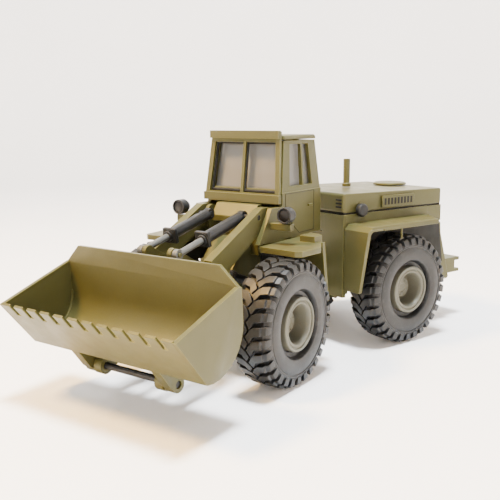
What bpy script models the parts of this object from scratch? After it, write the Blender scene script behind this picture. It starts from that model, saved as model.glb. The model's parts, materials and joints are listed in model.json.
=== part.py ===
"""Articulated toy front loader, about 1:50: bucket, boom and linkage, cab, steering joint and four wheels.

Sizes are in millimetres and MM turns them into metres. The front half is drawn with its axle at y = 0, the
ground at z = 0 and the bucket towards -Y. The rear half is drawn in line behind it and then turned about the
steering pin. Left is +X, the driver's left.
"""

import math

import bmesh
import bpy
from mathutils import Matrix, Vector

MM = 0.001

# Where the middle of the model's box lies at rest, so that the origin is at its bottom centre.
BOX_CENTRE = (5.758, 26.785)

# Wheels
TYRE_RADIUS = 17.5
TYRE_OUTER_FACE = 27.7
TYRE_INNER_FACE = 16.5
TYRE_BORE = 7.7
RIM_RADIUS = 7.36
RIM_OUTER_FACE = 27.3
AXLE_RADIUS = 1.2
RUNNING_GAP = 0.25
TOUCH_GAP = 0.3
WHEELBASE = 63.9
TYRE_STEPS = 36
RIM_STEPS = 28

# Steering joint
STEER_Y = 31.4
STEER_REST = -17.9

# Boom: the arms are two bent plates between the tower plates and the cab panels.
ARM_INNER = 9.2
ARM_OUTER = 11.7
BOOM_PIVOT = (8.0, 44.4)
BUCKET_PIVOT = (-35.2, 9.1)
LEVER_PIVOT = (-11.24, 25.0)
TILT_BASE = (3.8, 44.5)
TILT_EYE = (-24.0, 37.9)
LINK_TOP = (-8.0, 29.46)
LINK_BOTTOM = (-31.0, 12.2)
LINK_KNEE = (-13.4, 27.5)
LIFT_RADIUS = 24.0
LIFT_EYE_ANGLE = 210.0
LIFT_OPENING = 78.0
PIN_RADIUS = 0.9
PIN_HOLE = 1.05

# Side-view planes of the linkage, as distances from the centre plane
TILT_PLANE = 5.9
LEVER_INNER = 3.6
LEVER_OUTER = 4.9
LINK_INNER = 2.1
LINK_OUTER = 3.3
LIFT_PLANE = 8.55

# Hydraulic cylinders
TILT_BARREL = {"radius": 1.65, "bore": 1.35, "length": 18.3, "gland": 1.95, "eye": 1.6, "eye_width": 1.8}
TILT_ROD = {"radius": 0.9, "inside": 25.0, "eye": 1.45, "eye_width": 1.4}
LIFT_BARREL = {"radius": 1.25, "bore": 0.85, "length": 22.4, "gland": 1.6, "eye": 1.5, "eye_width": 1.9}
LIFT_ROD = {"radius": 0.6, "inside": 22.4, "eye": 1.5, "eye_width": 0.9}

# Bucket
BUCKET_HALF_WIDTH = 29.0
SHEET = 1.1
BACK_CENTRE = (-39.55, 25.13)
BACK_RADIUS = 11.45
LIP = (-51.9, 26.1)
MOUTH_TOP = (-29.7, 33.7)
GUARD_TOP = 38.3
GUARD_HALF_WIDTH = 23.7
TEETH = 12
SLOT_WIDTH = 1.5
SLOT_DEPTH = 3.6

# Cab
CAB_HALF_WIDTH = 13.5
CAB_REAR = 34.8
BELT = 50.6
EAVES = 65.2

# Rear half
BODY_FRONT = 43.2
HOOD_HALF_WIDTH = 17.5
HOOD_REAR = 90.1
HOOD_BOTTOM = 42.6
HOOD_TOP_FRONT = 48.7
HOOD_TOP_REAR = 47.8
REAR_OSCILLATION_Z = 22.2

COLOURS = {
    "paint": ((0.42, 0.36, 0.15), 0.45, 0.0),
    "black": ((0.03, 0.03, 0.032), 0.5, 0.0),
    "steel": ((0.45, 0.45, 0.43), 0.35, 0.9),
    "tyre": ((0.035, 0.036, 0.04), 0.75, 0.0),
    "glazing": ((0.45, 0.45, 0.43), 0.15, 0.0),
    "lens": ((0.06, 0.06, 0.065), 0.2, 0.0),
    "interior": ((0.05, 0.05, 0.05), 0.6, 0.0),
}

for old in list(bpy.data.objects):
    bpy.data.objects.remove(old)

parts = bpy.data.collections.new("toy_front_loader")
cutters = bpy.data.collections.new("cutters")
bpy.context.scene.collection.children.link(parts)
bpy.context.scene.collection.children.link(cutters)
cutters.hide_render = True
drawn_at = {}


def make_material(name):
    colour, roughness, metallic = COLOURS[name]
    material = bpy.data.materials.new(name)
    material.use_nodes = True
    shader = material.node_tree.nodes["Principled BSDF"]
    shader.inputs["Base Color"].default_value = (*colour, 1.0)
    shader.inputs["Roughness"].default_value = roughness
    shader.inputs["Metallic"].default_value = metallic
    material.diffuse_color = (*colour, 1.0)
    return material


materials = {name: make_material(name) for name in COLOURS}


# ---------------------------------------------------------------- placing


def pivot(name, at, parent=None, turn=0.0):
    """An empty on a joint's axis. Children are drawn where they stand before the empty turns."""
    empty = bpy.data.objects.new(name, None)
    empty.empty_display_size = 5 * MM
    parts.objects.link(empty)
    drawn_at[name] = Vector(at)
    base = drawn_at[parent.name] if parent else Vector((*BOX_CENTRE, 0.0))
    empty.parent = parent
    empty.location = (Vector(at) - base) * MM
    empty.rotation_euler.z = math.radians(turn)
    return empty


def hang(obj, parent, at=(0, 0, 0)):
    """Parents a piece to an empty, with its origin at a point of the drawing."""
    obj.parent = parent
    obj.location = (Vector(at) - drawn_at[parent.name]) * MM


def node(obj, name, colour, parent, at=(0, 0, 0), smooth=False):
    obj.name = name
    obj.data.name = name
    obj.data.materials.clear()
    obj.data.materials.append(materials[colour])
    hang(obj, parent, at)
    if smooth:
        for face in obj.data.polygons:
            face.use_smooth = True
    return obj


def mesh_object(mesh_data, name="piece"):
    mesh = bpy.data.meshes.new(name)
    mesh_data.to_mesh(mesh)
    mesh_data.free()
    obj = bpy.data.objects.new(name, mesh)
    parts.objects.link(obj)
    return obj


# ---------------------------------------------------------------- basic solids


def block(low, high):
    """A box between two corners."""
    low, high = Vector(low), Vector(high)
    mesh_data = bmesh.new()
    bmesh.ops.create_cube(mesh_data, size=1.0)
    size = Matrix.Diagonal((*((high - low) * MM), 1))
    matrix = Matrix.Translation((low + high) / 2 * MM) @ size
    bmesh.ops.transform(mesh_data, matrix=matrix, verts=mesh_data.verts)
    return mesh_object(mesh_data)


def side_block(side, low, high):
    """A box on one side of the centre plane, given by its corners on the left side."""
    nearest, furthest = sorted((side * low[0], side * high[0]))
    return block((nearest, *low[1:]), (furthest, *high[1:]))


def tapered_block(low, high, top_low, top_high):
    """A box whose top face is another rectangle, from (x, y) at top_low to (x, y) at top_high."""
    obj = block(low, high)
    size = Vector(high) - Vector(low)
    for vertex in obj.data.vertices:
        if vertex.co.z < (low[2] + 0.5 * size.z) * MM:
            continue
        for axis in (0, 1):
            share = (vertex.co[axis] / MM - low[axis]) / size[axis]
            vertex.co[axis] = (top_low[axis] + share * (top_high[axis] - top_low[axis])) * MM
    return obj


def rod(start, end, radius, steps=16):
    """A round bar between two points."""
    start, end = Vector(start), Vector(end)
    mesh_data = bmesh.new()
    bmesh.ops.create_cone(
        mesh_data, cap_ends=True, segments=steps, radius1=radius * MM, radius2=radius * MM,
        depth=(end - start).length * MM,
    )
    turn = (end - start).to_track_quat("Z", "Y").to_matrix().to_4x4()
    matrix = Matrix.Translation((start + end) / 2 * MM) @ turn
    bmesh.ops.transform(mesh_data, matrix=matrix, verts=mesh_data.verts)
    return mesh_object(mesh_data)


def across(centre, radius, angle):
    """The point at a radius from a centre, in a direction in degrees."""
    turn = math.radians(angle)
    return (centre[0] + radius * math.cos(turn), centre[1] + radius * math.sin(turn))


def circle(centre, radius, steps=16):
    return [across(centre, radius, 360.0 * i / steps) for i in range(steps)]


def arc(centre, radius, start, end, steps):
    """Points from one angle to another, in degrees."""
    return [across(centre, radius, start + (end - start) * i / steps) for i in range(steps + 1)]


def plate(outline, x0, x1, holes=(), plane="YZ"):
    """A flat outline given thickness: in side view, in plan (plane XY) or in front view (plane XZ)."""
    curve = bpy.data.curves.new("outline", "CURVE")
    curve.dimensions = "2D"
    curve.fill_mode = "BOTH"
    curve.extrude = abs(x1 - x0) / 2 * MM
    for points in (outline, *holes):
        spline = curve.splines.new("POLY")
        spline.points.add(len(points) - 1)
        for point, (u, v) in zip(spline.points, points):
            point.co = (u * MM, v * MM, 0, 1)
        spline.use_cyclic_u = True
    drawn = bpy.data.objects.new("outline", curve)
    parts.objects.link(drawn)
    middle = (x0 + x1) / 2 * MM
    turns = {
        "YZ": (Matrix(((0, 0, 1), (1, 0, 0), (0, 1, 0))), (middle, 0, 0)),
        "XZ": (Matrix(((1, 0, 0), (0, 0, -1), (0, 1, 0))), (0, middle, 0)),
        "XY": (Matrix.Identity(3), (0, 0, middle)),
    }
    turn, move = turns[plane]
    return solid_from_curve(drawn, Matrix.Translation(move) @ turn.to_4x4())


def solid_from_curve(drawn, matrix):
    """The curve's mesh with its caps welded on, moved into place."""
    bpy.context.view_layer.update()
    graph = bpy.context.evaluated_depsgraph_get()
    mesh = bpy.data.meshes.new_from_object(drawn.evaluated_get(graph))
    mesh_data = bmesh.new()
    mesh_data.from_mesh(mesh)
    bmesh.ops.remove_doubles(mesh_data, verts=mesh_data.verts, dist=1e-6)
    bmesh.ops.transform(mesh_data, matrix=matrix, verts=mesh_data.verts)
    bmesh.ops.recalc_face_normals(mesh_data, faces=mesh_data.faces)
    curve = drawn.data
    bpy.data.objects.remove(drawn)
    bpy.data.curves.remove(curve)
    bpy.data.meshes.remove(mesh)
    return mesh_object(mesh_data)


def turned(profile, steps, closed=True):
    """A profile of (x, radius) points turned about the X axis."""
    mesh_data = bmesh.new()
    points = [mesh_data.verts.new((x * MM, 0, -radius * MM)) for x, radius in profile]
    ends = points[1:] + points[:1] if closed else points[1:]
    for first, second in zip(points, ends):
        mesh_data.edges.new((first, second))
    obj = mesh_object(mesh_data)
    screw = obj.modifiers.new("turn", "SCREW")
    screw.axis = "X"
    screw.steps = steps
    screw.render_steps = steps
    screw.use_merge_vertices = True
    screw.merge_threshold = 1e-6
    return apply_modifiers(obj)


def apply_modifiers(obj):
    """Replaces the object's mesh by what its modifiers make of it."""
    bpy.context.view_layer.update()
    graph = bpy.context.evaluated_depsgraph_get()
    mesh = bpy.data.meshes.new_from_object(obj.evaluated_get(graph))
    obj.modifiers.clear()
    obj.data = mesh
    mesh_data = bmesh.new()
    mesh_data.from_mesh(mesh)
    bmesh.ops.remove_doubles(mesh_data, verts=mesh_data.verts, dist=1e-6)
    bmesh.ops.dissolve_degenerate(mesh_data, edges=mesh_data.edges, dist=1e-6)
    bmesh.ops.recalc_face_normals(mesh_data, faces=mesh_data.faces)
    mesh_data.to_mesh(mesh)
    mesh_data.free()
    return obj


def combine(obj, operation, *tools):
    """Joins tools to a solid or cuts them from it, one after the other, and puts the tools away."""
    for tool in tools:
        cutters.objects.link(tool)
        parts.objects.unlink(tool)
        tool.display_type = "WIRE"
        tool.hide_render = True
        boolean = obj.modifiers.new(operation.lower(), "BOOLEAN")
        boolean.operation = operation
        boolean.solver = "EXACT"
        boolean.object = tool
        apply_modifiers(obj)
    return obj


def join(obj, *tools):
    return combine(obj, "UNION", *tools)


def cut(obj, *tools):
    return combine(obj, "DIFFERENCE", *tools)


def bevel(obj, width, angle=40):
    modifier = obj.modifiers.new("edges", "BEVEL")
    modifier.width = width * MM
    modifier.segments = 1
    modifier.limit_method = "ANGLE"
    modifier.angle_limit = math.radians(angle)
    return obj


SIDES = (("left", 1), ("right", -1))

# Both pins of a lift cylinder lie at the same distance from the boom's pivot.
LIFT_BASE = across(BOOM_PIVOT, LIFT_RADIUS, LIFT_EYE_ANGLE + LIFT_OPENING)
LIFT_EYE = across(BOOM_PIVOT, LIFT_RADIUS, LIFT_EYE_ANGLE)


# ---------------------------------------------------------------- wheels


def build_tyre(name, side, parent, at):
    face, inner = TYRE_OUTER_FACE, TYRE_INNER_FACE
    profile = [
        (inner + 0.8, TYRE_BORE),
        (face - 1.3, TYRE_BORE),
        (face - 0.3, 8.6),
        (face, 9.3),
        (face, 11.8),
        (face - 0.8, 15.4),
        (face - 1.8, 16.9),
        (face - 3.0, TYRE_RADIUS),
        (inner + 3.0, TYRE_RADIUS),
        (inner + 1.8, 16.9),
        (inner + 0.8, 15.4),
        (inner, 11.8),
        (inner, 9.3),
    ]
    tyre = turned([(side * x, r) for x, r in profile], TYRE_STEPS)
    return node(tyre, name, "tyre", parent, at, smooth=True)


def build_rim(name, side, parent, at):
    face = RIM_OUTER_FACE
    profile = [
        (17.6, 4.6),
        (17.6, RIM_RADIUS),
        (face, RIM_RADIUS),
        (face, 6.6),
        (face - 0.9, 5.9),
        (face - 1.3, 5.0),
        (face - 5.2, 4.4),
        (face - 5.2, 2.6),
        (face - 3.4, 2.4),
        (face - 3.4, AXLE_RADIUS + RUNNING_GAP),
        (19.8, AXLE_RADIUS + RUNNING_GAP),
        (19.8, 4.6),
    ]
    rim = turned([(side * x, r) for x, r in profile], RIM_STEPS)
    return node(rim, name, "paint", parent, at, smooth=True)


def build_wheelset(end, parent, y):
    hub = pivot(end + "_wheels_axis", (0, y, TYRE_RADIUS), parent)
    axle = rod((-23.6, 0, 0), (23.6, 0, 0), AXLE_RADIUS)
    node(axle, end + "_axle", "steel", hub, (0, y, TYRE_RADIUS))
    for word, side in SIDES:
        build_rim(f"{end}_rim_{word}", side, hub, (0, y, TYRE_RADIUS))
        build_tyre(f"{end}_tyre_{word}", side, hub, (0, y, TYRE_RADIUS))


# ---------------------------------------------------------------- front frame


def build_front_frame(parent):
    centre_box = [
        (-2.0, 12.0), (-2.0, 29.0), (3.0, 34.5), (7.0, 38.0), (12.0, 39.0),
        (12.0, 45.4), (26.0, 45.4), (26.6, 36.0), (26.6, 12.0),
    ]
    frame = plate(centre_box, -5.8, 5.8)
    tower = [(10.6, 38.0), (10.6, 45.4), (26.0, 45.4), (26.0, 38.0)]
    join(frame, plate(tower, -8.9, 8.9))
    join(frame, plate([(8.2, 33.0), (8.2, 41.6), (11.0, 41.6), (11.0, 33.0)], -8.4, 8.4))
    for side in (1, -1):
        cheek = [
            (12.5, 33.0), (6.4, 41.0), *arc(BOOM_PIVOT, 2.3, 190, 20, 8), (12.5, 45.0), (20.0, 45.0),
            (20.0, 33.0),
        ]
        join(frame, plate(cheek, side * 7.9, side * 8.9, holes=[circle(BOOM_PIVOT, PIN_HOLE)]))
        join(frame, side_block(side, (5.0, 13.5, 33.0), (8.5, 20.0, 38.5)))
        join(frame, rod((side * 5.0, *LIFT_BASE), (side * (LIFT_PLANE + 1.2), *LIFT_BASE), PIN_RADIUS))
        join(frame, side_block(side, (5.0, 20.5, 36.0), (11.9, 26.0, 38.0)))
    join(frame, rod((-15.8, 0, TYRE_RADIUS), (15.8, 0, TYRE_RADIUS), 4.0, 20))
    for low, high in ((27.0, 30.0), (13.0, 16.0)):
        lug = [(-4.6, 25.0), (4.6, 25.0), *arc((0, STEER_Y), 3.6, 0, 180, 10)]
        join(frame, plate(lug, low, high, plane="XY"))
    cut(frame, rod((-20, 0, TYRE_RADIUS), (20, 0, TYRE_RADIUS), AXLE_RADIUS + RUNNING_GAP))
    cut(frame, rod((0, STEER_Y, 5), (0, STEER_Y, 40), 1.6))
    return node(frame, "front_frame", "paint", parent)


def build_tower_cover(parent):
    """The sloping plate between the boom arms, under the windscreen."""
    front = [
        (6.9, 42.0), (6.9, 43.8), (9.6, 47.3), (12.0, 47.3), (12.0, 46.4), (10.1, 46.4), (7.8, 43.4),
        (7.8, 42.0),
    ]
    return node(plate(front, -7.4, 7.4), "tower_cover", "paint", parent)


def build_boom_pins(parent):
    for word, side in SIDES:
        pin = rod((side * 7.8, *BOOM_PIVOT), (side * 12.0, *BOOM_PIVOT), PIN_RADIUS)
        node(pin, "boom_pivot_pin_" + word, "steel", parent)


def build_front_fenders(parent):
    """Each is a flat plate over the tyre, with a step on it and a mud panel behind the tyre."""
    for word, side in SIDES:
        top = [(13.9, 0.6), (26.0, -0.6), (27.6, 0.6), (28.4, 9.0), (26.6, 12.4), (22.4, 19.6), (13.9, 21.4)]
        fender = plate([(side * x, y) for x, y in top], 35.6, 37.1, plane="XY")
        tread = [(18.6, 14.2), (23.4, 14.2), (23.4, 18.4), (21.6, 19.8), (18.6, 20.2)]
        step = plate([(side * x, y) for x, y in tread], 36.6, 38.8, plane="XY")
        panel = [(19.0, 36.4), (20.6, 36.4), (23.4, 18.5), (22.0, 18.5)]
        join(fender, step, plate(panel, side * 13.9, side * 23.2))
        node(fender, "front_fender_" + word, "paint", parent)


def build_headlights(parent):
    for word, side in SIDES:
        bracket = side_block(side, (14.0, 5.4, 40.7), (20.5, 9.6, 42.8))
        node(bracket, "headlight_bracket_" + word, "paint", parent)
        profile = [(-2.0, 0.0), (-2.0, 1.5), (-0.6, 2.25), (2.0, 2.25), (2.0, 1.85), (1.5, 1.75), (1.5, 0.0)]
        lamp = turned(profile, 20, closed=False)
        lamp.data.transform(Matrix.Rotation(math.radians(-90), 4, "Z"))
        node(lamp, "headlight_" + word, "black", parent, (side * 18.8, 7.2, 45.4), smooth=True)


# ---------------------------------------------------------------- cab


def build_cab(parent):
    panel = [(1.2, 37.4), (7.4, 46.8), (13.0, 46.8), (13.0, BELT), (CAB_REAR, BELT), (CAB_REAR, 37.4)]
    cab = plate(panel, -CAB_HALF_WIDTH, CAB_HALF_WIDTH)
    upper = tapered_block((-13.3, 13.0, BELT - 0.5), (13.3, CAB_REAR, EAVES), (-12.2, 15.6), (12.2, 33.0))
    join(cab, upper)
    cut(cab, block((-12.2, -3, 30), (12.2, 33.2, 47.2)))
    cut(cab, block((-8.5, 8.8, 46), (8.5, 13.0, 48.0)))
    room = tapered_block((-12.2, 14.0, 48.2), (12.2, 33.6, EAVES + 3), (-11.0, 16.9), (11.0, 31.7))
    cut(cab, room)
    cut(cab, block((-11.5, 5.0, BELT + 0.9), (11.5, 20.0, 64.3)))
    cut(cab, block((-10.6, 30.0, BELT + 1.5), (10.6, 40.0, 64.0)))
    front_pane = [(17.4, BELT + 1.5), (18.6, 64.2), (24.6, 64.2), (24.6, BELT + 1.5)]
    rear_pane = [(25.4, BELT + 1.5), (25.4, 64.2), (28.9, 64.2), (30.1, BELT + 1.5)]
    cut(cab, plate(front_pane, -20, 20), plate(rear_pane, -20, 20))
    return node(cab, "cab_body", "paint", parent)


def build_roof(parent):
    roof = tapered_block((-12.6, 15.2, EAVES + TOUCH_GAP), (12.6, 33.4, 66.8), (-12.3, 15.4), (12.3, 33.1))
    return node(bevel(roof, 0.3), "cab_roof", "paint", parent)


def build_windscreen_frame(parent):
    """The surround that stands in front of the cab: sill, two posts, a middle post and the visor."""
    front = [(-13.3, 47.8), (13.3, 47.8), (12.0, 68.1), (-12.0, 68.1)]
    opening = [(-11.7, 50.4), (11.7, 50.4), (10.7, 65.0), (-10.7, 65.0)]
    frame = plate(front, 0.0, 0.9, holes=[opening], plane="XZ")
    join(frame, block((-0.45, 0.1, 49.9), (0.45, 0.8, 66.5)))
    lean = math.atan(0.13)
    frame.data.transform(Matrix.Translation((0, 0, 47.8 * MM)) @ Matrix.Rotation(-lean, 4, "X")
                         @ Matrix.Translation((0, 0, -47.8 * MM)))
    frame.data.transform(Matrix.Translation((0, 11.4 * MM, 0)))
    visor = block((-12.15, 12.8, 65.9), (12.15, 14.1, 68.1))
    sill = block((-13.4, 11.0, 47.7), (13.4, 12.5, 50.0))
    join(frame, visor, sill)
    return node(frame, "windscreen_frame", "paint", parent)


def build_cab_inside(parent):
    outer = tapered_block((-11.8, 14.4, 48.9), (11.8, 33.3, EAVES - 0.3), (-10.7, 17.1), (10.7, 31.5))
    inner = tapered_block((-11.2, 15.0, 48.0), (11.2, 32.7, EAVES - 0.8), (-10.1, 17.8), (10.1, 30.8))
    cut(outer, inner)
    node(outer, "cab_glazing", "glazing", parent)
    floor = block((-10.6, 15.6, 48.6), (10.6, 32.0, 49.4))
    join(floor, block((-3.4, 24.5, 49.0), (3.4, 30.0, 51.0)))
    join(floor, block((-3.4, 29.2, 50.0), (3.4, 30.6, 54.2)))
    join(floor, rod((0, 19.4, 49.0), (0, 21.3, 52.2), 0.5, 10))
    node(floor, "cab_interior", "interior", parent)
    wheel = rod((0, 0, -0.3), (0, 0, 0.3), 2.2, 20)
    wheel.data.transform(Matrix.Rotation(math.radians(-30), 4, "X"))
    node(wheel, "steering_wheel", "interior", parent, (0, 21.9, 53.2))


# ---------------------------------------------------------------- boom and linkage


def build_boom(parent):
    outline = [
        *arc(BOOM_PIVOT, 2.6, -40, 100, 8),
        (5.2, 46.9),
        (-17.7, 35.8),
        *arc((-20.4, 28.4), 6.4, 62, 175, 5),
        (-26.5, 21.5),
        (-29.0, 16.2),
        (-33.6, 12.0),
        *arc(BUCKET_PIVOT, 2.3, 120, 300, 8),
        (-24.0, 12.6),
        *arc(LEVER_PIVOT, 2.3, 245, 395, 6),
        (-13.4, 28.0),
        (-9.0, 32.9),
        (2.9, 39.5),
    ]
    holes = [circle(BOOM_PIVOT, PIN_HOLE), circle(BUCKET_PIVOT, PIN_HOLE), circle(LEVER_PIVOT, PIN_HOLE),
             circle(TILT_BASE, 0.85, 12)]
    for word, side in SIDES:
        arm = plate(outline, side * ARM_INNER, side * ARM_OUTER, holes)
        stud = rod((side * (LIFT_PLANE - 0.5), *LIFT_EYE), (side * (ARM_INNER + 0.6), *LIFT_EYE), 0.7, 12)
        join(arm, stud)
        node(arm, "boom_arm_" + word, "paint", parent)
    shaft = rod((-11.6, *LEVER_PIVOT), (11.6, *LEVER_PIVOT), PIN_RADIUS)
    node(shaft, "lever_shaft", "black", parent)
    for word, side in SIDES:
        pin = rod((side * 4.8, *TILT_BASE), (side * 11.6, *TILT_BASE), 0.7, 12)
        node(pin, "tilt_base_pin_" + word, "black", parent)


def side_angle(start, end):
    """The turn about X that points a piece drawn along -Y from start to end, in radians."""
    return math.atan2(start[1] - end[1], start[0] - end[0])


def build_barrel(name, size, x, base, eye, pin_hole, parent):
    """A closed tube with an eye at its base and a gland nut at its mouth, drawn along -Y from the pin."""
    neck = size["eye"] * 0.7
    profile = [
        (neck, 0.0), (neck, size["radius"]),
        (size["length"] - 1.4, size["radius"]), (size["length"] - 1.4, size["gland"]),
        (size["length"], size["gland"]), (size["length"], size["bore"]),
        (neck + 1.2, size["bore"]), (neck + 1.2, 0.0),
    ]
    barrel = turned(profile, 16, closed=False)
    barrel.data.transform(Matrix.Rotation(math.radians(-90), 4, "Z"))
    half = size["eye_width"] / 2
    join(barrel, rod((-half, 0, 0), (half, 0, 0), size["eye"]))
    cut(barrel, rod((-half - 1, 0, 0), (half + 1, 0, 0), pin_hole, 12))
    barrel.data.transform(Matrix.Rotation(side_angle(base, eye), 4, "X"))
    node(barrel, name, "black", parent, (x, *base))


def build_piston_rod(name, size, x, base, eye, pin_hole, parent):
    """A round rod drawn along +Y from the eye it pushes, reaching into its barrel."""
    piston = rod((0, 0.8, 0), (0, size["inside"], 0), size["radius"], 12)
    half = size["eye_width"] / 2
    join(piston, rod((-half, 0, 0), (half, 0, 0), size["eye"]))
    cut(piston, rod((-half - 1, 0, 0), (half + 1, 0, 0), pin_hole, 12))
    piston.data.transform(Matrix.Rotation(side_angle(base, eye), 4, "X"))
    node(piston, name, "steel", parent, (x, *eye))


def build_cylinders(lift_axis, lift_rod_axis, tilt_axis, tilt_rod_axis):
    for word, side in SIDES:
        lift, tilt = side * LIFT_PLANE, side * TILT_PLANE
        build_barrel("lift_barrel_" + word, LIFT_BARREL, lift, LIFT_BASE, LIFT_EYE, PIN_HOLE, lift_axis)
        build_piston_rod("lift_rod_" + word, LIFT_ROD, lift, LIFT_BASE, LIFT_EYE, 0.85, lift_rod_axis)
        build_barrel("tilt_barrel_" + word, TILT_BARREL, tilt, TILT_BASE, TILT_EYE, 0.85, tilt_axis)
        build_piston_rod("tilt_rod_" + word, TILT_ROD, tilt, TILT_BASE, TILT_EYE, 0.75, tilt_rod_axis)


def build_tilt_lever(parent):
    """Two bell-crank plates on one tube round the lever shaft. Studs carry the rod eyes and the links."""
    outline = [
        *arc(LEVER_PIVOT, 2.4, 190, 300, 5),
        *arc(LINK_TOP, 1.6, -50, 100, 5),
        *arc(TILT_EYE, 1.6, 30, 230, 7),
    ]
    lever = rod((-LEVER_INNER - 0.5, *LEVER_PIVOT), (LEVER_INNER + 0.5, *LEVER_PIVOT), 1.55, 16)
    for side in (1, -1):
        join(lever, plate(outline, side * LEVER_INNER, side * LEVER_OUTER))
        join(lever, rod((side * 4.2, *TILT_EYE), (side * 6.9, *TILT_EYE), 0.6, 12))
        join(lever, rod((side * 4.2, *LINK_TOP), (side * 1.9, *LINK_TOP), 0.6, 12))
    cut(lever, rod((-8, *LEVER_PIVOT), (8, *LEVER_PIVOT), PIN_HOLE))
    node(lever, "tilt_lever", "paint", parent)


def side_of(first, second):
    """The direction across the line from first to second, in degrees."""
    return math.degrees(math.atan2(second[1] - first[1], second[0] - first[0])) + 90.0


def build_links(parent):
    """The two links bend over the tube of the bell crank."""
    upper, lower = side_of(LINK_TOP, LINK_KNEE), side_of(LINK_KNEE, LINK_BOTTOM)
    knee = (upper + lower) / 2
    outline = [
        *arc(LINK_TOP, 1.3, upper, upper + 180.0, 7),
        across(LINK_KNEE, 1.0, knee - 180.0),
        *arc(LINK_BOTTOM, 2.0, lower - 180.0, lower, 9),
        across(LINK_KNEE, 1.0, knee),
    ]
    holes = [circle(LINK_TOP, 0.75, 12), circle(LINK_BOTTOM, 1.4, 14)]
    for word, side in SIDES:
        link = plate(outline, side * LINK_INNER, side * LINK_OUTER, holes)
        node(link, "tilt_link_" + word, "paint", parent)


# ---------------------------------------------------------------- bucket


def build_bucket(parent):
    heel_angle, top_angle = 258.6, 362.4
    back = arc(BACK_CENTRE, BACK_RADIUS, heel_angle, top_angle, 9)
    outer = [LIP, *back, (-28.6, 33.5), MOUTH_TOP]
    bucket = plate(outer, -BUCKET_HALF_WIDTH, BUCKET_HALF_WIDTH)
    inner_back = arc(BACK_CENTRE, BACK_RADIUS - SHEET, heel_angle + 2, top_angle, 9)
    hollow = [(-51.75, 26.3), (-41.3, 15.6), *inner_back[1:], (-29.7, 33.0), (-29.9, 37.0), (-52.4, 30.5)]
    inside = BUCKET_HALF_WIDTH - SHEET
    cut(bucket, plate(hollow, -inside, inside))
    guard = [
        (-28.9, 32.6), (28.9, 32.6), (28.9, 33.4), (GUARD_HALF_WIDTH, GUARD_TOP),
        (-GUARD_HALF_WIDTH, GUARD_TOP), (-28.9, 33.4),
    ]
    spill_guard = plate(guard, -29.7, -28.7, plane="XZ")
    for vertex in spill_guard.data.vertices:
        vertex.co.y += (vertex.co.z / MM - 33.0) * -0.1 * MM
    join(bucket, spill_guard)
    spacing = 2 * BUCKET_HALF_WIDTH / TEETH
    along = Vector((BACK_CENTRE[0] - 2.2 - LIP[0], 13.9 - LIP[1])).normalized()
    out = Vector((along.y, -along.x))
    lip = Vector(LIP)
    corners = [lip - along * 2 - out * 4, lip - along * 2 + out * 4, lip + along * SLOT_DEPTH + out * 4,
               lip + along * SLOT_DEPTH - out * 2]
    for index in range(1, TEETH):
        x = -BUCKET_HALF_WIDTH + index * spacing
        cut(bucket, plate([tuple(p) for p in corners], x - SLOT_WIDTH / 2, x + SLOT_WIDTH / 2))
    for side in (1, -1):
        lug = [
            (-42.2, 14.6), (-38.0, 9.0), *arc(BUCKET_PIVOT, 2.1, 200, 380, 8), (-30.2, 16.8), (-31.2, 17.6),
            (-36.0, 14.8),
        ]
        join(bucket, plate(lug, side * 12.2, side * 15.0, holes=[circle(BUCKET_PIVOT, PIN_HOLE)]))
        ear = [(-34.4, 15.0), *arc(LINK_BOTTOM, 1.5, 230, 380, 6), (-30.4, 17.9), (-31.6, 17.6)]
        join(bucket, plate(ear, side * LEVER_INNER, side * LEVER_OUTER))
        join(bucket, rod((side * 4.2, *LINK_BOTTOM), (side * 1.9, *LINK_BOTTOM), 0.5, 12))
    node(bucket, "bucket", "paint", parent)
    pin = rod((-14.6, *BUCKET_PIVOT), (14.6, *BUCKET_PIVOT), PIN_RADIUS)
    node(pin, "bucket_hinge_pin", "black", parent)


# ---------------------------------------------------------------- rear half


def build_rear_frame(parent):
    outline = [
        (BODY_FRONT + 0.6, 13.5), (BODY_FRONT + 0.6, 36.0), (83.0, 36.0), (83.0, 13.5),
        (72.5, 13.5), (71.5, 25.2), (56.5, 25.2), (55.5, 13.5),
    ]
    frame = plate(outline, -7.5, 7.5)
    for low, high in ((23.6, 26.6), (16.4, 19.4)):
        lug = [
            (6.0, 45.0), (-6.0, 45.0), (-4.0, STEER_Y + 3.0), *arc((0, STEER_Y), 4.0, 180, 360, 10),
            (4.0, STEER_Y + 3.0),
        ]
        join(frame, plate(lug, low, high, plane="XY"))
    cut(frame, rod((0, STEER_Y, 5), (0, STEER_Y, 40), 1.6))
    cut(frame, rod((0, 52.0, REAR_OSCILLATION_Z), (0, 76.0, REAR_OSCILLATION_Z), PIN_RADIUS + RUNNING_GAP))
    node(frame, "rear_frame", "paint", parent)
    pin = rod((0, STEER_Y, 12.0), (0, STEER_Y, 31.0), 1.3)
    node(pin, "steering_pin", "steel", parent)
    pin = rod((0, 52.5, REAR_OSCILLATION_Z), (0, 75.5, REAR_OSCILLATION_Z), PIN_RADIUS)
    node(pin, "axle_pivot_pin", "steel", parent)


def build_rear_body(parent):
    """The engine compartment under the hood, with the wall behind the cab and a space for the frame."""
    section = [
        (-15.2, 23.2), (-15.2, 37.0), (-17.5, 37.0), (-17.5, 42.1), (17.5, 42.1), (17.5, 37.0), (15.2, 37.0),
        (15.2, 23.2),
    ]
    body = plate(section, BODY_FRONT + 0.7, 83.0, plane="XZ")
    join(body, block((-17.4, 82.0, 36.6), (17.4, 90.1, 42.0)))
    join(body, block((-17.6, BODY_FRONT, 16.0), (17.6, BODY_FRONT + 1.4, 42.0)))
    cut(body, block((-7.9, BODY_FRONT - 1.0, 10.0), (7.9, 83.3, 36.4)))
    node(body, "rear_body", "paint", parent)


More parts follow.
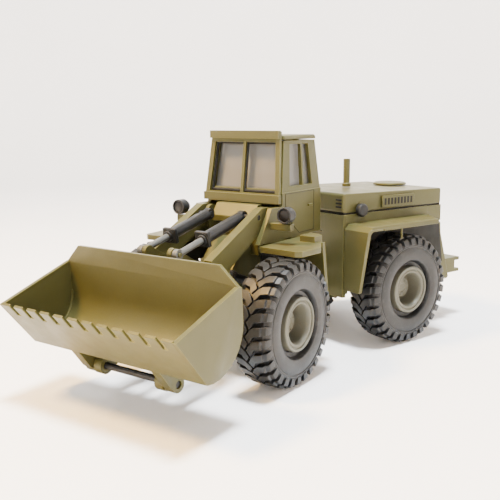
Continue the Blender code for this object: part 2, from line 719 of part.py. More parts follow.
def build_hood(parent):
    outline = [
        (BODY_FRONT, HOOD_BOTTOM), (BODY_FRONT, HOOD_TOP_FRONT), (HOOD_REAR, HOOD_TOP_REAR),
        (HOOD_REAR, HOOD_BOTTOM),
    ]
    hood = plate(outline, -HOOD_HALF_WIDTH, HOOD_HALF_WIDTH)
    apply_modifiers(bevel(hood, 0.6))
    cut(hood, block((-16.2, BODY_FRONT + 1.3, 40.0), (16.2, HOOD_REAR - 1.3, 46.6)))
    node(hood, "engine_hood", "paint", parent)


def build_grille(parent):
    grille = block((-13.5, HOOD_REAR + TOUCH_GAP, 37.2), (13.5, HOOD_REAR + 1.1, 47.2))
    for index in range(6):
        z = 38.2 + index * 1.5
        cut(grille, block((-12.3, HOOD_REAR + 0.7, z), (12.3, HOOD_REAR + 2.0, z + 0.7)))
    node(grille, "radiator_grille", "black", parent)


def build_counterweight(parent):
    outline = [(83.4, 15.0), (83.4, 36.2), (90.6, 36.2), (90.9, 32.6), (96.3, 15.9), (95.6, 15.0)]
    node(bevel(plate(outline, -17.3, 17.3), 0.4), "counterweight", "paint", parent)
    channel = [
        (94.7, 21.8), (104.2, 21.8), (104.2, 20.6), (101.7, 20.6), (101.7, 17.6), (104.2, 17.6),
        (104.2, 16.4), (96.4, 16.4),
    ]
    node(plate(channel, -15.6, 15.6), "tow_hitch", "paint", parent)


def build_rear_fenders(parent):
    for word, side in SIDES:
        arch = [
            (43.4, 18.5), (43.4, 37.8), (45.0, 39.35), (81.9, 39.35), (81.9, 37.9), (45.6, 37.9),
            (44.8, 37.1), (44.8, 18.5),
        ]
        fender = plate(arch, side * 17.9, side * 28.3)
        corner = [(24.4, 10.0), (24.4, 18.0), (28.0, 38.5), (32.0, 38.5), (32.0, 10.0)]
        cut(fender, plate([(side * x, z) for x, z in corner], 40.0, 50.0, plane="XZ"))
        tail = [(17.0, 82.4), (28.3, 75.6), (32.0, 75.6), (32.0, 85.0), (17.0, 85.0)]
        cut(fender, plate([(side * x, y) for x, y in tail], 36.0, 42.0, plane="XY"))
        node(fender, "rear_fender_" + word, "paint", parent)


def build_rear_details(parent):
    profile = [
        (0.0, 0.0), (0.0, 1.5), (1.0, 1.5), (1.2, 1.15), (9.3, 1.15), (9.3, 0.8), (6.0, 0.8), (6.0, 0.0),
    ]
    pipe = turned(profile, 16, closed=False)
    pipe.data.transform(Matrix.Rotation(math.radians(-90), 4, "Y"))
    node(pipe, "exhaust_pipe", "paint", parent, (0.0, 61.5, 48.75), smooth=True)
    cover = turned([(0.0, 0.0), (0.0, 5.8), (0.5, 5.8), (0.8, 5.2), (0.8, 0.0)], 28, closed=False)
    cover.data.transform(Matrix.Rotation(math.radians(-90), 4, "Y"))
    node(cover, "fan_cover", "paint", parent, (0.0, 83.0, 48.3), smooth=True)
    cap = turned([(0.0, 0.0), (0.0, 1.7), (0.5, 2.1), (1.7, 2.1), (2.1, 1.7), (2.1, 0.0)], 20, closed=False)
    node(cap, "fuel_cap", "black", parent, (HOOD_HALF_WIDTH + TOUCH_GAP, 49.8, 43.3), smooth=True)
    for word, side in SIDES:
        low = (HOOD_HALF_WIDTH + TOUCH_GAP, 59.7, 43.3)
        blank = side_block(side, low, (HOOD_HALF_WIDTH + 0.8, 74.9, 47.0))
        node(blank, "side_plate_" + word, "paint", parent)


def build_rear_axle_carrier(parent):
    y, z = WHEELBASE, TYRE_RADIUS
    carrier = rod((-15.6, y, z), (15.6, y, z), 3.4, 20)
    join(carrier, block((-3.4, 57.2, 18.0), (3.4, 70.8, 24.4)))
    cut(carrier, rod((-20, y, z), (20, y, z), AXLE_RADIUS + RUNNING_GAP))
    cut(carrier, rod((0, 50.0, REAR_OSCILLATION_Z), (0, 80.0, REAR_OSCILLATION_Z), PIN_RADIUS + RUNNING_GAP))
    node(carrier, "rear_axle_carrier", "paint", parent)


# ---------------------------------------------------------------- assembly

front_half = pivot("front_half", (0, 0, 0))
build_front_frame(front_half)
build_tower_cover(front_half)
build_boom_pins(front_half)
build_front_fenders(front_half)
build_headlights(front_half)
build_cab(front_half)
build_roof(front_half)
build_windscreen_frame(front_half)
build_cab_inside(front_half)
build_wheelset("front", front_half, 0.0)

boom_axis = pivot("boom_axis", (0, *BOOM_PIVOT), front_half)
build_boom(boom_axis)
bucket_axis = pivot("bucket_axis", (0, *BUCKET_PIVOT), boom_axis)
build_bucket(bucket_axis)
lever_axis = pivot("lever_axis", (0, *LEVER_PIVOT), boom_axis)
build_tilt_lever(lever_axis)
link_axis = pivot("link_axis", (0, *LINK_TOP), lever_axis)
build_links(link_axis)
lift_axis = pivot("lift_axis", (0, *LIFT_BASE), front_half)
lift_rod_axis = pivot("lift_rod_axis", (0, *LIFT_EYE), boom_axis)
tilt_axis = pivot("tilt_axis", (0, *TILT_BASE), boom_axis)
tilt_rod_axis = pivot("tilt_rod_axis", (0, *TILT_EYE), lever_axis)
build_cylinders(lift_axis, lift_rod_axis, tilt_axis, tilt_rod_axis)

rear_half = pivot("rear_half", (0, STEER_Y, 0), front_half, STEER_REST)
build_rear_frame(rear_half)
build_rear_body(rear_half)
build_hood(rear_half)
build_grille(rear_half)
build_counterweight(rear_half)
build_rear_fenders(rear_half)
build_rear_details(rear_half)
axle_pivot = pivot("axle_pivot", (0, WHEELBASE, REAR_OSCILLATION_Z), rear_half)
build_rear_axle_carrier(axle_pivot)
build_wheelset("rear", axle_pivot, WHEELBASE)
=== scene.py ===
import json
import math

import bmesh
import bpy
from mathutils import Matrix, Vector


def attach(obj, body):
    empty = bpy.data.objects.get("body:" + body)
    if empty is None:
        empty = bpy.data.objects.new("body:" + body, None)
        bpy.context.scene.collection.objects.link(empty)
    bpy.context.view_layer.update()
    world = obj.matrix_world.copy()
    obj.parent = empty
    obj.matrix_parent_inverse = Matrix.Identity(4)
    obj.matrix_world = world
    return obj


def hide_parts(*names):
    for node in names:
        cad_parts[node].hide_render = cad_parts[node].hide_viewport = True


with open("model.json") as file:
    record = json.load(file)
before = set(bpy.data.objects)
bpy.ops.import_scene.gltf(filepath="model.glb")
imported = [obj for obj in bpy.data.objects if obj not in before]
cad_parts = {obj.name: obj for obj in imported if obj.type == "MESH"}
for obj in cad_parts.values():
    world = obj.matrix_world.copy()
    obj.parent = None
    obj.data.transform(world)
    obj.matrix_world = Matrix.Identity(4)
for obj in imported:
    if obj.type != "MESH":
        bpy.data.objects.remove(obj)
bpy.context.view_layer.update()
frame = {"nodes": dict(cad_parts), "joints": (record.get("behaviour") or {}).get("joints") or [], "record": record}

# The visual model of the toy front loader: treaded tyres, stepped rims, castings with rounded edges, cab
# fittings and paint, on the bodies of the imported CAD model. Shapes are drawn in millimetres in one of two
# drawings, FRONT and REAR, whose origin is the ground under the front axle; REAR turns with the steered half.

MM = 0.001
SIDES = (("left", 1), ("right", -1))
nodes = frame["nodes"]
joints = {joint["name"]: joint for joint in frame["joints"]}

# ---------------------------------------------------------------- drawings

front_hub = Vector(joints["front_wheels_roll"]["pos_m"])
rear_hub = Vector(joints["rear_wheels_roll"]["pos_m"])
steering_pin = Vector(joints["steering"]["pos_m"])
rear_across = Vector(joints["rear_wheels_roll"]["axis"])
WHEEL_RADIUS = front_hub.z / MM
STEER_Y = (steering_pin.y - front_hub.y) / MM
FRONT = Matrix.Translation((front_hub.x, front_hub.y, 0)) @ Matrix.Scale(MM, 4)
steered = Matrix.Rotation(math.atan2(rear_across.y, rear_across.x), 4, "Z")
REAR = FRONT @ Matrix.Translation((0, STEER_Y, 0)) @ steered @ Matrix.Translation((0, -STEER_Y, 0))
REAR_AXLE_Y = (REAR.inverted() @ rear_hub).y


# ---------------------------------------------------------------- materials


def new_material(name):
    material = bpy.data.materials.new(name)
    material.use_nodes = True
    tree = material.node_tree
    return material, tree, tree.nodes["Principled BSDF"]


def noise(tree, coords, scale, detail=4.0, roughness=0.6):
    texture = tree.nodes.new("ShaderNodeTexNoise")
    texture.inputs["Scale"].default_value = scale
    texture.inputs["Detail"].default_value = detail
    texture.inputs["Roughness"].default_value = roughness
    tree.links.new(coords, texture.inputs["Vector"])
    return texture.outputs["Fac"]


def ramp(tree, value, low, high, start=0.3, end=0.7):
    """Maps a value to a colour or a grey between two stops."""
    node = tree.nodes.new("ShaderNodeValToRGB")
    node.color_ramp.elements[0].position = start
    node.color_ramp.elements[1].position = end
    node.color_ramp.elements[0].color = (*low, 1.0) if len(low) == 3 else low
    node.color_ramp.elements[1].color = (*high, 1.0) if len(high) == 3 else high
    tree.links.new(value, node.inputs["Fac"])
    return node.outputs["Color"]


def mix(tree, factor, first, second, blend="MIX"):
    node = tree.nodes.new("ShaderNodeMix")
    node.data_type = "RGBA"
    node.blend_type = blend
    for socket, value in ((node.inputs[0], factor), (node.inputs[6], first), (node.inputs[7], second)):
        if isinstance(value, bpy.types.NodeSocket):
            tree.links.new(value, socket)
        else:
            socket.default_value = value
    return node.outputs[2]


def grey(value):
    return (value, value, value)


def bump(tree, height, strength, distance):
    node = tree.nodes.new("ShaderNodeBump")
    node.inputs["Strength"].default_value = strength
    node.inputs["Distance"].default_value = distance
    tree.links.new(height, node.inputs["Height"])
    return node.outputs["Normal"]


def object_coords(tree):
    return tree.nodes.new("ShaderNodeTexCoord").outputs["Object"]


def edge_mask(tree, radius, start, end):
    """White along sharp edges, from how far the rounded normal leans from the true one."""
    rounded = tree.nodes.new("ShaderNodeBevel")
    rounded.samples = 6
    rounded.inputs["Radius"].default_value = radius
    geometry = tree.nodes.new("ShaderNodeNewGeometry")
    dot = tree.nodes.new("ShaderNodeVectorMath")
    dot.operation = "DOT_PRODUCT"
    tree.links.new(rounded.outputs["Normal"], dot.inputs[0])
    tree.links.new(geometry.outputs["Normal"], dot.inputs[1])
    return ramp(tree, dot.outputs["Value"], grey(1.0), grey(0.0), start, end)


def paint_material(name, tint, highlight_tint, roughness=0.42, metallic=0.2):
    """Die-cast enamel: fine metallic grain, soft mottling, orange peel and edges painted lighter as a highlight.
    """
    material, tree, shader = new_material(name)
    coords = object_coords(tree)
    darker = [channel * 0.93 for channel in tint]
    lighter = [channel * 1.08 for channel in tint]
    broad = ramp(tree, noise(tree, coords, 45.0, 3.0), darker, lighter)
    fine = ramp(tree, noise(tree, coords, 5200.0, 2.0), grey(0.94), grey(1.06), 0.35, 0.65)
    body = mix(tree, 1.0, broad, fine, "MULTIPLY")
    # painted highlight: sharp edges are lightened towards the highlight tint, broken up by a speckle
    edge_highlight = edge_mask(tree, 0.00022, 0.86, 0.985)
    speck = ramp(tree, noise(tree, coords, 700.0, 3.0), grey(0.25), grey(0.75))
    speckled_edge_highlight = mix(tree, 1.0, edge_highlight, speck, "MULTIPLY")
    tree.links.new(mix(tree, speckled_edge_highlight, body, (*highlight_tint, 1.0)), shader.inputs["Base Color"])
    tree.links.new(
        ramp(tree, noise(tree, coords, 160.0, 4.0), grey(roughness - 0.06), grey(roughness + 0.08)),
        shader.inputs["Roughness"],
    )
    shader.inputs["Metallic"].default_value = metallic
    shader.inputs["Specular IOR Level"].default_value = 0.3
    tree.links.new(bump(tree, noise(tree, coords, 1400.0, 3.0), 0.1, 0.00006), shader.inputs["Normal"])
    return material


def simple_material(name, low, high, roughness, metallic=0.0):
    """A mottled surface with a fine grain: black enamel, turned steel, dark seams or moulded plastic."""
    material, tree, shader = new_material(name)
    coords = object_coords(tree)
    tree.links.new(ramp(tree, noise(tree, coords, 120.0), low, high), shader.inputs["Base Color"])
    tree.links.new(
        ramp(tree, noise(tree, coords, 300.0), grey(roughness - 0.08), grey(roughness + 0.08)),
        shader.inputs["Roughness"],
    )
    shader.inputs["Metallic"].default_value = metallic
    shader.inputs["Specular IOR Level"].default_value = 0.25
    tree.links.new(bump(tree, noise(tree, coords, 1500.0), 0.25, 0.00004), shader.inputs["Normal"])
    return material


def tyre_material():
    """Matt rubber with paler dust where the surface is rough, edges painted paler as a glint, and fine mould
    texture.
    """
    material, tree, shader = new_material("tyre_rubber")
    coords = object_coords(tree)
    base = ramp(tree, noise(tree, coords, 90.0), (0.007, 0.008, 0.009), (0.013, 0.014, 0.015))
    dust = ramp(tree, noise(tree, coords, 420.0, 6.0, 0.7), grey(0.0), grey(0.35), 0.52, 0.8)
    # painted highlight: the edges of the bars and sidewall are paler, standing for glints; the noise below adds
    # real dust
    edge_highlight = mix(tree, 0.35, (0.0, 0.0, 0.0, 1.0), edge_mask(tree, 0.0002, 0.82, 0.98))
    dust_and_edge_highlight = mix(tree, 1.0, dust, edge_highlight, "ADD")
    tree.links.new(mix(tree, dust_and_edge_highlight, base, (0.075, 0.077, 0.077, 1.0)), shader.inputs["Base Color"])
    tree.links.new(
        ramp(tree, noise(tree, coords, 260.0), grey(0.36), grey(0.5)), shader.inputs["Roughness"]
    )
    shader.inputs["Specular IOR Level"].default_value = 0.3
    tree.links.new(bump(tree, noise(tree, coords, 2600.0, 5.0), 0.35, 0.00006), shader.inputs["Normal"])
    return material


def glass_material():
    """Clear plastic a little grey from age and dust, which lets part of the light straight through."""
    material, tree, shader = new_material("window_plastic")
    coords = object_coords(tree)
    clear = tree.nodes.new("ShaderNodeBsdfTransparent")
    clear.inputs["Color"].default_value = (0.80, 0.79, 0.76, 1.0)
    tree.links.new(
        ramp(tree, noise(tree, coords, 60.0, 2.0), (0.165, 0.165, 0.155), (0.19, 0.19, 0.18)),
        shader.inputs["Base Color"],
    )
    tree.links.new(ramp(tree, noise(tree, coords, 300.0), grey(0.30), grey(0.36)), shader.inputs["Roughness"])
    blend = tree.nodes.new("ShaderNodeMixShader")
    dust = ramp(tree, noise(tree, coords, 40.0, 2.0), grey(0.70), grey(0.76))
    output = tree.nodes["Material Output"]
    tree.links.new(dust, blend.inputs["Fac"])
    tree.links.new(clear.outputs["BSDF"], blend.inputs[1])
    tree.links.new(shader.outputs["BSDF"], blend.inputs[2])
    tree.links.new(blend.outputs["Shader"], output.inputs["Surface"])
    return material


paint = paint_material("olive_enamel", (0.068, 0.064, 0.020), (0.24, 0.225, 0.06))
rim_paint = paint_material("rim_enamel", (0.105, 0.104, 0.080), (0.22, 0.215, 0.16), 0.46)
black = simple_material("black_enamel", (0.010, 0.011, 0.012), (0.020, 0.021, 0.023), 0.45)
seam = simple_material("seam_shadow", (0.007, 0.007, 0.006), (0.013, 0.013, 0.011), 0.75)
steel = simple_material("turned_steel", (0.075, 0.08, 0.08), (0.12, 0.125, 0.12), 0.5, 0.5)
rubber = tyre_material()
glass = glass_material()
lens = simple_material("lamp_lens", (0.003, 0.003, 0.003), (0.007, 0.006, 0.006), 0.35)
cab_plastic = simple_material("cab_plastic", (0.05, 0.045, 0.035), (0.085, 0.078, 0.06), 0.6)
MATERIALS = {
    "paint": paint, "black": black, "steel": steel, "tyre": rubber, "glazing": glass, "interior": cab_plastic,
}
slot_of = {entry["node"]: entry["material_slot"] for entry in frame["record"]["subparts"]}
carrier_of = {name: body for body, names in frame["record"]["behaviour"]["bodies"].items() for name in names}
for node_name, cad_object in nodes.items():
    cad_object.data.materials.clear()
    cad_object.data.materials.append(MATERIALS[slot_of[node_name]])


# ---------------------------------------------------------------- making pieces

BEVEL_ANGLE = 28
SHARP_ANGLE = 30

def piece(name, mesh_data, drawing, body, material, replaces=(), bevel=0.0):
    """Turns drawn mesh data into a piece that rides on a body, with rounded edges where asked."""
    bmesh.ops.transform(mesh_data, matrix=drawing, verts=mesh_data.verts)
    bmesh.ops.recalc_face_normals(mesh_data, faces=mesh_data.faces)
    mesh = bpy.data.meshes.new(name)
    mesh_data.to_mesh(mesh)
    mesh_data.free()
    obj = bpy.data.objects.new(name, mesh)
    bpy.context.scene.collection.objects.link(obj)
    mesh.materials.append(material)
    if bevel:
        rounding = obj.modifiers.new("rounding", "BEVEL")
        rounding.width = bevel * MM
        rounding.segments = 2
        rounding.limit_method = "ANGLE"
        rounding.angle_limit = math.radians(BEVEL_ANGLE)
        rounding.harden_normals = True
        rounding.use_clamp_overlap = True
    mesh.shade_smooth()
    mesh.set_sharp_from_angle(angle=math.radians(SHARP_ANGLE))
    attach(obj, body)
    if replaces:
        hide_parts(*replaces)


def box(mesh_data, low, high):
    low, high = Vector(low), Vector(high)
    matrix = Matrix.Translation((low + high) / 2) @ Matrix.Diagonal((*(high - low), 1))
    bmesh.ops.create_cube(mesh_data, size=1.0, matrix=matrix)


def bar(mesh_data, start, end, radius, steps=24):
    start, end = Vector(start), Vector(end)
    turn = (end - start).to_track_quat("Z", "Y").to_matrix().to_4x4()
    bmesh.ops.create_cone(
        mesh_data, cap_ends=True, segments=steps, radius1=radius, radius2=radius, depth=(end - start).length,
        matrix=Matrix.Translation((start + end) / 2) @ turn,
    )


def revolve(mesh_data, profile, steps, closed=True):
    """A profile of (x, radius) points turned about the X axis."""
    rings = []
    for index in range(steps):
        angle = 2 * math.pi * index / steps
        rings.append([
            mesh_data.verts.new((x, r * math.cos(angle), r * math.sin(angle))) for x, r in profile
        ])
    count = len(profile)
    for index, ring in enumerate(rings):
        following = rings[(index + 1) % steps]
        for at in range(count if closed else count - 1):
            nxt = (at + 1) % count
            mesh_data.faces.new((ring[at], ring[nxt], following[nxt], following[at]))


def rounded_copy(node_name, width):
    """Stands in for a CAD casting with the same shape and softly rounded edges."""
    source = nodes[node_name]
    mesh_data = bmesh.new()
    mesh_data.from_mesh(source.data)
    bmesh.ops.remove_doubles(mesh_data, verts=mesh_data.verts, dist=2e-6)
    bmesh.ops.dissolve_limit(
        mesh_data, angle_limit=math.radians(1.0), verts=mesh_data.verts, edges=mesh_data.edges
    )
    slot = slot_of[node_name]
    piece(
        node_name + "_casting", mesh_data, Matrix.Identity(4), carrier_of[node_name], MATERIALS[slot],
        (node_name,), bevel=width,
    )


# ---------------------------------------------------------------- tyres and rims

TYRE_MIDDLE = 22.1
LUGS = 30
TREAD_BASE = WHEEL_RADIUS - 1.5


def tyre_carcass(mesh_data):
    half = 5.0
    side = [
        (half - 1.5, 7.75), (half - 1.6, 8.1), (half - 1.3, 8.9), (half - 0.1, 9.25), (half + 0.35, 9.6),
        (half + 0.55, 10.4), (half + 0.6, 11.6), (half + 0.5, 12.9), (half + 0.38, 13.4), (half + 0.22, 13.5),
        (half + 0.22, 13.75), (half + 0.42, 13.9), (half + 0.3, 14.7), (half - 0.2, TREAD_BASE - 0.6),
        (half - 0.9, TREAD_BASE),
    ]
    profile = [(x, r) for x, r in side] + [(-x, r) for x, r in reversed(side)]
    revolve(mesh_data, profile, 96)


def lug(mesh_data, angle, side, pitch):
    """One tread bar: a pointed inner end, a kink, a broad bar across the tread and a stepped shoulder."""
    stations = [
        (-0.3, 0.75, 17.5, -0.5, 1.52), (1.4, 1.4, 17.5, -0.3, 1.45), (1.9, 1.9, 17.5, -0.12, 1.2),
        (4.0, 4.0, 17.4, 0.02, 1.12), (4.15, 4.15, 16.85, 0.03, 1.12), (5.3, 5.3, 16.6, 0.1, 1.12),
        (5.55, 5.55, 15.9, 0.12, 1.1), (5.55, 5.55, 14.5, 0.13, 1.0),
    ]
    previous = None
    for tip, corner, top, shift, half in stations:
        ring = []
        middle = angle + pitch * shift
        base = min(TREAD_BASE - 0.5, top - 0.5)
        for radius, direction in ((top, -1), (top, 0), (top, 1), (base, 1), (base, 0), (base, -1)):
            turn = middle + direction * half / WHEEL_RADIUS
            out = tip if direction == 0 else corner
            if radius == base:
                out = min(out, 4.6)
            ring.append(mesh_data.verts.new((side * out, radius * math.sin(turn), radius * math.cos(turn))))
        if previous is None:
            mesh_data.faces.new(ring)
        else:
            for at in range(6):
                nxt = (at + 1) % 6
                mesh_data.faces.new((previous[at], previous[nxt], ring[nxt], ring[at]))
        previous = ring
    mesh_data.faces.new(previous)


def make_wheel(end, word, side, hub, drawing, body):
    middle = Matrix.Translation((side * TYRE_MIDDLE, hub, WHEEL_RADIUS))
    at = drawing @ middle @ Matrix.Diagonal((side, 1, 1, 1))
    tyre = bmesh.new()
    tyre_carcass(tyre)
    pitch = 2 * math.pi / LUGS
    for index in range(LUGS):
        lug(tyre, index * pitch, 1, pitch)
        lug(tyre, (index + 0.5) * pitch, -1, pitch)
    piece(f"{end}_tyre_tread_{word}", tyre, at, body, rubber, (f"{end}_tyre_{word}",), bevel=0.12)
    rim = bmesh.new()
    profile = [
        (-4.5, 4.6), (-4.5, 7.5), (4.4, 7.5), (5.2, 7.42), (5.45, 7.25), (5.5, 6.95), (5.4, 6.7), (4.95, 6.6),
        (4.9, 6.35), (5.05, 6.2), (5.2, 5.95), (5.15, 5.6), (4.8, 5.35), (3.6, 5.1), (0.3, 4.8), (0.0, 4.6),
        (0.0, 3.6), (0.2, 3.4), (1.5, 3.1), (1.75, 2.85), (1.8, 1.5), (1.6, 1.3), (1.6, 0.0001),
        (1.52, 0.0001), (1.52, 1.25), (-2.0, 1.25), (-2.0, 4.6),
    ]
    revolve(rim, profile, 72)
    for index in range(8):
        turn = 2 * math.pi * (index + 0.5) / 8
        spot = Vector((1.6, 2.2 * math.cos(turn), 2.2 * math.sin(turn)))
        bar(rim, spot, spot + Vector((0.5, 0, 0)), 0.26, 6)
    piece(f"{end}_rim_detail_{word}", rim, at, body, rim_paint, (f"{end}_rim_{word}",), bevel=0.06)


for word, side in SIDES:
    make_wheel("front", word, side, 0.0, FRONT, "front_wheels")
    make_wheel("rear", word, side, REAR_AXLE_Y, REAR, "rear_wheels")

# ---------------------------------------------------------------- castings

ROUNDED = {
    "bucket": 0.16, "boom_arm_left": 0.22, "boom_arm_right": 0.22, "cab_body": 0.22, "cab_roof": 0.3,
    "windscreen_frame": 0.18, "tower_cover": 0.25, "front_frame": 0.3, "front_fender_left": 0.3,
    "front_fender_right": 0.3, "engine_hood": 0.3, "rear_body": 0.25, "rear_frame": 0.3,
    "rear_fender_left": 0.3, "rear_fender_right": 0.3,
    "counterweight": 0.4, "tow_hitch": 0.2, "side_plate_left": 0.12, "side_plate_right": 0.12,
    "tilt_lever": 0.15, "tilt_link_left": 0.15, "tilt_link_right": 0.15, "rear_axle_carrier": 0.2,
    "radiator_grille": 0.08, "headlight_left": 0.12, "headlight_right": 0.12,
    "tilt_barrel_left": 0.1, "tilt_barrel_right": 0.1, "lift_barrel_left": 0.1, "lift_barrel_right": 0.1,
    "tilt_rod_left": 0.08, "tilt_rod_right": 0.08, "lift_rod_left": 0.08, "lift_rod_right": 0.08,
    "cab_interior": 0.2, "exhaust_pipe": 0.1, "fan_cover": 0.1, "fuel_cap": 0.15,
}
for node_name, width in ROUNDED.items():
    rounded_copy(node_name, width)

# ---------------------------------------------------------------- details


def strips(name, ends, drawing, body, radius):
    """Thin dark lines along panel seams, each from one point to another."""
    mesh_data = bmesh.new()
    for start, end in ends:
        bar(mesh_data, start, end, radius, 6)
    piece(name, mesh_data, drawing, body, seam)


def outline(points):
    """The sides of a closed outline, as pairs of ends."""
    return list(zip(points, points[1:] + points[:1]))


def side_sheet(mesh_data, points, inner, outer):
    """A thin sheet of a (y, z) outline between two x values."""
    corners = [mesh_data.verts.new((inner, y, z)) for y, z in points]
    face = mesh_data.faces.new(corners)
    grown = bmesh.ops.extrude_face_region(mesh_data, geom=[face])["geom"]
    moved = [item for item in grown if isinstance(item, bmesh.types.BMVert)]
    bmesh.ops.translate(mesh_data, vec=(outer - inner, 0, 0), verts=moved)


def windscreen_shade_strips():
    """Dark strips round the two panes, just behind the painted surround: painted shade of the surround's inner
    faces.
    """
    def on_screen(x, z):
        return (x, 12.6 + 0.13 * (z - 47.8), z)

    sill, head = 50.75, 64.65
    border = [on_screen(-11.35, sill), on_screen(11.35, sill), on_screen(10.4, head), on_screen(-10.4, head)]
    middle = [(on_screen(x, sill), on_screen(x, head)) for x in (-0.45, 0.45)]
    strips("windscreen_shade_strips", outline(border) + middle, FRONT, "front_half", 0.42)


def details():
    # painted shade: a dark slab under the hood's edge, standing for the shade in the gap between hood and body
    hood_join_shade_slab = bmesh.new()
    box(hood_join_shade_slab, (-17.1, 43.6, 41.6), (17.1, 89.7, 43.0))
    piece("hood_join_shade", hood_join_shade_slab, REAR, "rear_half", seam)
    for word, side in SIDES:
        door = [
            (side * 13.52, 14.6, 50.2), (side * 13.52, 30.6, 50.2), (side * 13.52, 30.6, 38.2),
            (side * 13.52, 22.2, 38.2), (side * 13.52, 14.6, 44.0),
        ]
        strips("door_seam_" + word, outline(door), FRONT, "front_half", 0.09)
        handle = bmesh.new()
        box(handle, (side * 13.4, 27.0, 45.6), (side * 14.1, 29.2, 46.3))
        piece("door_handle_" + word, handle, FRONT, "front_half", paint, bevel=0.12)
        slots = bmesh.new()
        for index in range(9):
            low = 60.6 + index * 1.55
            box(slots, (side * 18.1, low, 44.1), (side * 18.36, low + 0.9, 46.2))
        piece("side_plate_slots_" + word, slots, REAR, "rear_half", seam, bevel=0.05)
        louvres = bmesh.new()
        for index in range(3):
            z = 44.2 + index * 1.1
            box(louvres, (side * 14.2, 42.93, z), (side * 16.6, 43.3, z + 0.5))
        piece("hood_louvres_" + word, louvres, REAR, "rear_half", seam, bevel=0.05)
        bracket = bmesh.new()
        box(bracket, (side * 13.45, 6.3, 41.0), (side * 20.3, 8.3, 43.0))
        piece(
            "lamp_bracket_" + word, bracket, FRONT, "front_half", paint,
            ("headlight_bracket_" + word,), bevel=0.25,
        )
        rib = bmesh.new()
        box(rib, (side * 27.4, 58.2, 34.6), (side * 27.9, 58.7, 38.1))
        piece("rear_fender_rib_" + word, rib, REAR, "rear_half", paint, bevel=0.1)
        # painted shade: a dark sheet on the body side under the rear fender, where the fender shades the body
        rear_fender_shade = bmesh.new()
        sheet = [(55.0, 30.0), (55.0, 37.4), (88.8, 37.4), (91.6, 22.0), (84.0, 22.0), (80.0, 30.0)]
        side_sheet(rear_fender_shade, sheet, side * 17.45, side * 17.7)
        piece("rear_fender_shade_sheet_" + word, rear_fender_shade, REAR, "rear_half", seam)
        # painted shade: a dark sheet inside the front fender, where its inner face lies in shadow
        front_fender_shade = bmesh.new()
        box(front_fender_shade, (side * 14.0, 0.9, 29.5), (side * 14.3, 17.5, 35.5))
        piece("front_fender_shade_sheet_" + word, front_fender_shade, FRONT, "front_half", seam)
        lamp = bmesh.new()
        at = FRONT @ Matrix.Translation((side * 18.8, 7.2, 45.4)) @ Matrix.Rotation(math.radians(-90), 4, "Z")
        revolve(lamp, [(1.2, 0.0001), (1.2, 1.8), (1.62, 1.7), (1.8, 1.2), (1.88, 0.0001)], 32, closed=False)
        piece("headlight_lens_" + word, lamp, at, "front_half", lens)


def cylinder_flanges():
    """Square glands at the mouths of the tilt cylinders, wider towards the centre plane, with a seal ring."""
    base = Vector(joints["tilt_barrels_swing"]["pos_m"])
    eye = Vector(joints["tilt_rods_swing"]["pos_m"])
    along = (eye - base).normalized()
    across = Vector((1, 0, 0))
    up = along.cross(across)
    turn = Matrix((across, up, along)).transposed().to_4x4()
    for word, side in SIDES:
        at = Matrix.Translation(base + Vector((side * 5.9 * MM, 0, 0))) @ turn @ Matrix.Scale(MM, 4)
        flange = bmesh.new()
        box(flange, (min(-side * 2.5, side * 1.9), -2.1, 17.0), (max(-side * 2.5, side * 1.9), 2.1, 18.2))
        bar(flange, (0, 0, 18.0), (0, 0, 18.8), 1.45)
        piece("tilt_gland_" + word, flange, at, "tilt_barrels", black, bevel=0.25)


def bucket_details():
    """Tooth plates on the lip and weld beads where the side plates meet the back."""
    lip = Vector((0, -51.9, 26.1))
    down = Vector((0, -41.8, 13.9)) - lip
    down.normalize()
    inward = Vector((0, -down.z, down.y))
    spacing = 58.0 / 12
    teeth = bmesh.new()
    for index in range(12):
        x = -29.0 + (index + 0.5) * spacing
        start = lip + inward * 0.3 - down * 0.15
        middle = start + down * 2.0 + Vector((x, 0, 0))
        matrix = Matrix((Vector((1, 0, 0)), down, inward)).transposed().to_4x4()
        sized = matrix @ Matrix.Diagonal((3.1, 4.0, 0.7, 1.0))
        bmesh.ops.create_cube(teeth, size=1.0, matrix=Matrix.Translation(middle) @ sized)
    piece("bucket_teeth", teeth, FRONT, "bucket", paint, bevel=0.12)
    beads = bmesh.new()
    for side in (1, -1):
        path = []
        for angle in range(262, 363, 10):
            turn = math.radians(angle)
            path.append(Vector((side * 27.85, -39.55 + 10.3 * math.cos(turn), 25.13 + 10.3 * math.sin(turn))))
        for start, end in zip(path, path[1:]):
            bar(beads, start, end, 0.32, 10)
    piece("bucket_welds", beads, FRONT, "bucket", paint)


details()
windscreen_shade_strips()
cylinder_flanges()
bucket_details()

# ---------------------------------------------------------------- camera, floor and light

CAMERA_AT = (122.475, -158.538, 71.195)
CAMERA_TILT = 90.0 - 10.29
CAMERA_HEADING = 35.05
CAMERA_ROLL = -0.29
CAMERA_LENS = 51.71

camera = bpy.data.objects.new("camera", bpy.data.cameras.new("camera"))
bpy.context.scene.collection.objects.link(camera)
camera.data.lens = CAMERA_LENS
camera.data.clip_start = 0.01
camera.location = FRONT @ Vector(CAMERA_AT)
heading = Matrix.Rotation(math.radians(CAMERA_HEADING), 4, "Z")
tilt = Matrix.Rotation(math.radians(CAMERA_TILT), 4, "X")
roll = Matrix.Rotation(math.radians(CAMERA_ROLL), 4, "Z")
camera.rotation_euler = (heading @ tilt @ roll).to_euler()
bpy.context.scene.camera = camera


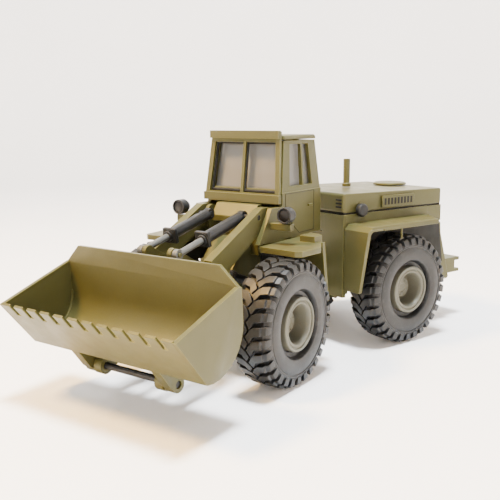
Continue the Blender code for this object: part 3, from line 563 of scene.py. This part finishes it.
def make_floor():
    """A pale round sheet whose rim curves up into a backdrop on every side."""
    flat, curve, top, steps = 620.0, 160.0, 900.0, 72
    angles = [math.radians(a) for a in range(0, 91, 10)]
    profile = [(flat / 2, 0.0)]
    profile += [(flat + curve * math.sin(a), curve - curve * math.cos(a)) for a in angles]
    profile += [(flat + curve, top)]
    mesh_data = bmesh.new()
    rings = []
    for radius, height in profile:
        turns = [2 * math.pi * index / steps for index in range(steps)]
        ring = [FRONT @ Vector((radius * math.cos(t), radius * math.sin(t), height)) for t in turns]
        rings.append([mesh_data.verts.new(point) for point in ring])
    mesh_data.faces.new(rings[0])
    for inner, outer in zip(rings, rings[1:]):
        for index in range(steps):
            after = (index + 1) % steps
            mesh_data.faces.new((inner[index], outer[index], outer[after], inner[after]))
    mesh = bpy.data.meshes.new("floor")
    mesh_data.to_mesh(mesh)
    mesh_data.free()
    floor = bpy.data.objects.new("floor", mesh)
    bpy.context.scene.collection.objects.link(floor)
    mesh.shade_smooth()
    material, tree, shader = new_material("floor_sheet")
    coords = object_coords(tree)
    tree.links.new(
        ramp(tree, noise(tree, coords, 6.0), (0.90, 0.89, 0.89), (0.94, 0.93, 0.93)),
        shader.inputs["Base Color"],
    )
    shader.inputs["Roughness"].default_value = 0.6
    mesh.materials.append(material)


make_floor()


def area_light(name, at, target, size, energy, colour):
    lamp = bpy.data.lights.new(name, "AREA")
    lamp.size = size
    lamp.energy = energy
    lamp.color = colour
    obj = bpy.data.objects.new(name, lamp)
    obj.location = at
    obj.rotation_euler = (Vector(target) - Vector(at)).to_track_quat("-Z", "Y").to_euler()
    bpy.context.scene.collection.objects.link(obj)


area_light("warm_key", (-0.18, -0.24, 0.46), (0.0, -0.02, 0.03), 0.10, 9.5, (1.0, 0.60, 0.18))
area_light("top_key", (0.04, -0.07, 0.62), (0.0, 0.0, 0.0), 0.12, 15.5, (0.93, 0.97, 1.0))
area_light("backdrop_wash", (-0.15, 0.25, 0.70), (-0.50, 0.75, 0.25), 0.3, 5.0, (0.84, 0.93, 1.0))

world = bpy.data.worlds.new("world")
bpy.context.scene.world = world
world.use_nodes = True
background = world.node_tree.nodes["Background"]
background.inputs["Color"].default_value = (0.66, 0.82, 1.0, 1.0)
background.inputs["Strength"].default_value = 0.05
